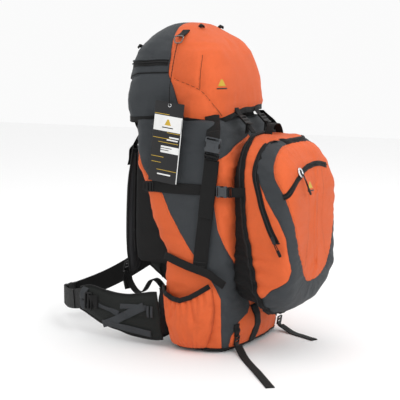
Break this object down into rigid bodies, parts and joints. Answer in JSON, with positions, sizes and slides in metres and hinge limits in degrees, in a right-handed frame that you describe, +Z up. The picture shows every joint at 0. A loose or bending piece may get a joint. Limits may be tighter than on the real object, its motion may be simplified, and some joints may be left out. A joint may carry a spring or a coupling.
{
  "type": "hiking backpack",
  "caption": "Tall trekking backpack with hinged lid, detachable front daypack, side pockets, compression straps, padded harness and buckled hip belt.",
  "frame": {"origin": "middle of the base that the pack stands on", "axes": "+Z up, X is the pack's width, -Y its front with the daypack, +Y the wearer's side with harness and belt"},
  "size_m": [0.5069, 0.7663, 0.7724],
  "materials": {
    "orange_fabric": "matte",
    "grey_fabric": "matte",
    "pad_fabric": "matte",
    "belt_fabric": "matte",
    "webbing": "matte",
    "elastic": "matte",
    "zip_coil": "satin",
    "black_plastic": "satin",
    "grey_plastic": "satin",
    "sheet_plastic": "matte",
    "bare_aluminium": "satin",
    "ring_chrome": "polished",
    "tag_card": "satin",
    "tag_cord_black": "matte",
    "pull_metal": "satin"
  },
  "bodies": {
    "pack": {"main_bag": "orange_fabric", "base_panel": "grey_fabric", "snow_collar": "grey_fabric", "side_pocket_left": "orange_fabric", "side_pocket_right": "orange_fabric", "pocket_bindings": "elastic", "back_panel": "pad_fabric", "frame_stays": "bare_aluminium", "frame_sheet": "sheet_plastic", "lumbar_pad": "pad_fabric", "shoulder_strap_left": "pad_fabric", "shoulder_strap_right": "pad_fabric", "load_lifters": "webbing", "shoulder_webbing_left": "webbing", "shoulder_webbing_right": "webbing", "ladder_locks": "black_plastic", "lid_webbing_left": "webbing", "lid_webbing_right": "webbing", "lid_buckle_males": "grey_plastic", "compression_females": "black_plastic", "compression_strap_left": "webbing", "compression_strap_right": "webbing", "lower_strap_left": "webbing", "lower_strap_right": "webbing", "base_webbing": "webbing", "strap_tail_left": "webbing", "strap_tail_right": "webbing"},
    "haul_loop": {"haul_loop": "webbing"},
    "sternum": {"sternum_strap": "webbing", "sternum_buckle": "black_plastic"},
    "lid": {"lid_shell": "orange_fabric", "lid_binding": "elastic", "lid_zip": "zip_coil", "lid_flaps": "webbing", "lash_rings": "black_plastic", "front_lid_straps": "webbing", "lid_buckle_females": "grey_plastic", "lid_webbing_upper": "webbing"},
    "lid_slider": {"lid_zip_slider": "pull_metal"},
    "lid_pull": {"lid_zip_pull": "black_plastic"},
    "tag": {"hang_tag": "tag_card", "tag_cord": "tag_cord_black"},
    "daypack": {"daypack_shell": "grey_fabric", "daypack_panel": "orange_fabric", "daypack_rim_zip": "zip_coil", "daypack_main_zip": "zip_coil", "pocket_zip": "zip_coil", "cable_grommet": "ring_chrome", "daypack_handle": "webbing", "compression_males": "black_plastic"},
    "pocket_slider": {"pocket_zip_slider": "pull_metal"},
    "pocket_pull": {"pocket_zip_pull": "black_plastic"},
    "main_slider": {"main_zip_slider": "pull_metal"},
    "main_pull": {"main_zip_pull": "black_plastic"},
    "belt_left": {"belt_wing_left": "belt_fabric", "belt_webbing_left": "webbing", "belt_buckle_female": "black_plastic"},
    "belt_right": {"belt_wing_right": "belt_fabric", "belt_webbing_right": "webbing", "belt_buckle_male": "black_plastic"}
  },
  "joints": [
    {"name": "lid_hinge", "type": "hinge", "parent": "pack", "child": "lid", "pos_m": [0, 0.189, 0.504], "axis": [-1, 0, 0], "range_deg": [0, 75]},
    {"name": "lid_zip_slide", "type": "slide", "parent": "lid", "child": "lid_slider", "axis": [1, 0, 0], "range_m": [0, 0.18]},
    {"name": "lid_pull_swing", "type": "hinge", "parent": "lid_slider", "child": "lid_pull", "pos_m": [-0.09, 0.20494, 0.67432], "axis": [1, 0, 0], "range_deg": [0, 120]},
    {"name": "tag_swing", "type": "hinge", "parent": "lid", "child": "tag", "pos_m": [-0.12448, 0.062, 0.7195], "axis": [1, 0, 0], "range_deg": [-12, 12]},
    {"name": "daypack_slide", "type": "slide", "parent": "pack", "child": "daypack", "axis": [0, -1, 0], "range_m": [0, 0.2]},
    {"name": "pocket_zip_slide", "type": "slide", "parent": "daypack", "child": "pocket_slider", "axis": [0.9728, 0, 0.2316], "range_m": [0, 0.14]},
    {"name": "pocket_pull_swing", "type": "hinge", "parent": "pocket_slider", "child": "pocket_pull", "pos_m": [-0.06833, -0.25, 0.37978], "axis": [-1, 0, 0], "range_deg": [0, 120]},
    {"name": "main_zip_slide", "type": "slide", "parent": "daypack", "child": "main_slider", "axis": [0, 0, 1], "range_m": [0, 0.12]},
    {"name": "main_pull_swing", "type": "hinge", "parent": "main_slider", "child": "main_pull", "pos_m": [-0.1425, -0.154, 0.274], "axis": [0, 1, 0], "range_deg": [0, 120]},
    {"name": "belt_left_swing", "type": "hinge", "parent": "pack", "child": "belt_left", "pos_m": [-0.168, 0.0925, 0.08], "axis": [0, 0, 1], "range_deg": [0, 60]},
    {"name": "belt_right_swing", "type": "hinge", "parent": "pack", "child": "belt_right", "pos_m": [0.168, 0.0925, 0.08], "axis": [0, 0, -1], "range_deg": [0, 60]},
    {"name": "haul_loop_swing", "type": "hinge", "parent": "pack", "child": "haul_loop", "pos_m": [0, 0.179, 0.476], "axis": [-1, 0, 0], "range_deg": [0, 85]},
    {"name": "sternum_slide", "type": "slide", "parent": "pack", "child": "sternum", "axis": [0, -0.0797, 0.9968], "range_m": [-0.03, 0.03]}
  ],
  "couplings": [
    {"joint": "belt_right_swing", "follows": "belt_left_swing", "ratio": 1}
  ]
}
